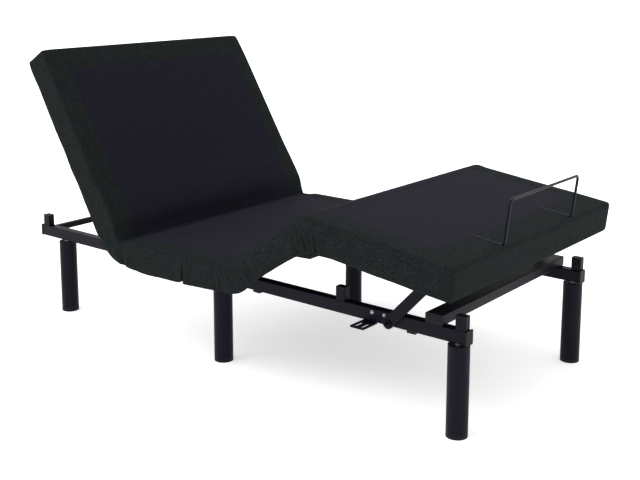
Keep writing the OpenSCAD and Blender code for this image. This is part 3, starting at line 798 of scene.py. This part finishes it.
def plastic_material(colour, grain):
    """Moulded plastic with a spark-eroded grain."""
    relief, plain = ("Fine", 0.00012, 0.6), {"Specular IOR Level": 0.14}
    return skin_material("moulded plastic", colour, grain, "Cloudy", (0.9, 1.15), (0.5, 0.62), relief, plain)


def felt_material(colour, grain):
    """Fibrous black felt glued to the boards."""
    relief, plain = ("Coarse", 0.0006, 0.8), {"Roughness": 0.95, "Specular IOR Level": 0.1}
    return skin_material("board felt", colour, grain, "Coarse", (0.7, 1.5), None, relief, plain)


def shared(group_name, maker):
    """A node group by name, made the first time."""
    return bpy.data.node_groups.get(group_name) or maker()


def finish_node(name, material):
    """Gives a material to one CAD node."""
    mesh = frame["nodes"][name].data
    mesh.materials.clear()
    mesh.materials.append(material)


def finish_nodes(slot_name, material):
    """Gives a material to every CAD node of one of the record's slots."""
    names = [p["node"] for p in frame["record"]["subparts"] if p["material_slot"] == slot_name]
    if not names:
        raise RuntimeError(f"the record has no node with the slot {slot_name}")
    for name in names:
        finish_node(name, material)


# ---------- operators ----------
class BED_OT_cover(bpy.types.Operator):
    """Build the upholstery: border and panel of the back, the seat with the thigh section, and the foot"""

    bl_idname = "bed.cover"
    bl_label = "Upholstery"

    def execute(self, context):
        c = context.scene.bed_cover
        weave = shared("plain weave", weave_group)
        border, panel = border_material(c.border_colour, weave), panel_material(c.panel_colour, weave)
        build_cover(c, {"border": border, "panel": panel})
        return {"FINISHED"}


class BED_OT_steel(bpy.types.Operator):
    """Powder coat the rails, crossbars, posts, legs, arms, hinges and retainer bar"""

    bl_idname = "bed.steel"
    bl_label = "Powder coat"

    def execute(self, context):
        grain = shared("surface grain", grain_group)
        colour = context.scene.bed_finish.steel_colour
        finish_nodes("powder_coated_steel", powder_material("powder coated steel", colour, grain, 0.0))
        finish_node("retainer_bar", powder_material("powder coated rod", colour, grain, 0.4))
        return {"FINISHED"}


class BED_OT_zinc(bpy.types.Operator):
    """Zinc plate the bolts, pins, studs and actuator rods"""

    bl_idname = "bed.zinc"
    bl_label = "Zinc plate"

    def execute(self, context):
        grain = shared("surface grain", grain_group)
        finish_nodes("zinc_plated_steel", zinc_material(context.scene.bed_finish.zinc_colour, grain))
        return {"FINISHED"}


class BED_OT_plastic(bpy.types.Operator):
    """Finish the caps, glides, clips, control box and actuator housings"""

    bl_idname = "bed.plastic"
    bl_label = "Plastic"

    def execute(self, context):
        grain = shared("surface grain", grain_group)
        finish_nodes("black_plastic", plastic_material(context.scene.bed_finish.plastic_colour, grain))
        return {"FINISHED"}


class BED_OT_boards(bpy.types.Operator):
    """Felt the four deck boards"""

    bl_idname = "bed.boards"
    bl_label = "Boards"

    def execute(self, context):
        grain = shared("surface grain", grain_group)
        finish_nodes("felted_board", felt_material(context.scene.bed_finish.felt_colour, grain))
        return {"FINISHED"}


class BED_OT_stage(bpy.types.Operator):
    """Make the camera, the pale floor and the soft studio light"""

    bl_idname = "bed.stage"
    bl_label = "Studio"

    def execute(self, context):
        g = context.scene.bed_stage
        data = bpy.data.cameras.new("camera")
        data.lens = g.lens
        data.shift_x, data.shift_y = g.shift_x, g.shift_y
        data.clip_end = 300.0
        camera = linked("camera", data)
        camera.matrix_world = (
            Matrix.Translation(Vector(g.camera_at))
            @ Matrix.Rotation(g.camera_yaw, 4, "Z")
            @ Matrix.Rotation(math.pi / 2 + g.camera_pitch, 4, "X")
            @ Matrix.Rotation(g.camera_roll, 4, "Z")
        )
        context.scene.camera = camera
        corners = g.floor_size * np.array([[-1, -1, 0], [1, -1, 0], [1, 1, 0], [-1, 1, 0]], float)
        floor = linked("floor", new_mesh("floor", corners, np.array([[0, 1, 2, 3]])))
        material, _, bsdf = new_material("pale floor")
        plain = {"Base Color": (*g.floor_colour, 1.0), "Roughness": 0.9, "Specular IOR Level": 0.1}
        put(bsdf, plain)
        put(bsdf, {"Emission Color": (1.0, 1.0, 1.0, 1.0), "Emission Strength": g.floor_glow})
        floor.data.materials.append(material)
        world = bpy.data.worlds.new("studio")
        context.scene.world = world
        world.use_nodes = True
        put(world.node_tree.nodes["Background"].inputs, {"Color": (1.0, 1.0, 1.0, 1.0), "Strength": 1.0})
        key = bpy.data.lights.new("key", "SUN")
        key.energy = g.key_strength
        key.angle = g.key_angle
        lamp = linked("key", key)
        lamp.rotation_euler = Vector((0.45, 0.35, -1.0)).to_track_quat("-Z", "Y").to_euler()
        context.scene.view_settings.view_transform = "Standard"
        return {"FINISHED"}


class BED_PT_panel(bpy.types.Panel):
    """Lists the bed base's pieces in the sidebar."""

    bl_idname = "BED_PT_panel"
    bl_label = "Bed Base"
    bl_space_type = "VIEW_3D"
    bl_region_type = "UI"
    bl_category = "Bed Base"

    def draw(self, context):
        for settings in (context.scene.bed_cover, context.scene.bed_finish, context.scene.bed_stage):
            box = self.layout.box()
            for name in settings.__annotations__:
                box.prop(settings, name)
        for operator in OPERATORS:
            self.layout.operator(operator.bl_idname)


OPERATORS = (BED_OT_stage, BED_OT_steel, BED_OT_zinc, BED_OT_plastic, BED_OT_boards, BED_OT_cover)
CLASSES = (CoverSettings, FinishSettings, StageSettings, *OPERATORS, BED_PT_panel)


def register():
    for cls in CLASSES:
        bpy.utils.register_class(cls)
    bpy.types.Scene.bed_cover = bpy.props.PointerProperty(type=CoverSettings)
    bpy.types.Scene.bed_finish = bpy.props.PointerProperty(type=FinishSettings)
    bpy.types.Scene.bed_stage = bpy.props.PointerProperty(type=StageSettings)


def unregister():
    for name in ("bed_cover", "bed_finish", "bed_stage"):
        delattr(bpy.types.Scene, name)
    for cls in reversed(CLASSES):
        bpy.utils.unregister_class(cls)


def main():
    register()
    for operator in ("stage", "steel", "zinc", "plastic", "boards", "cover"):
        getattr(bpy.ops.bed, operator)()


if __name__ == "__main__":
    main()
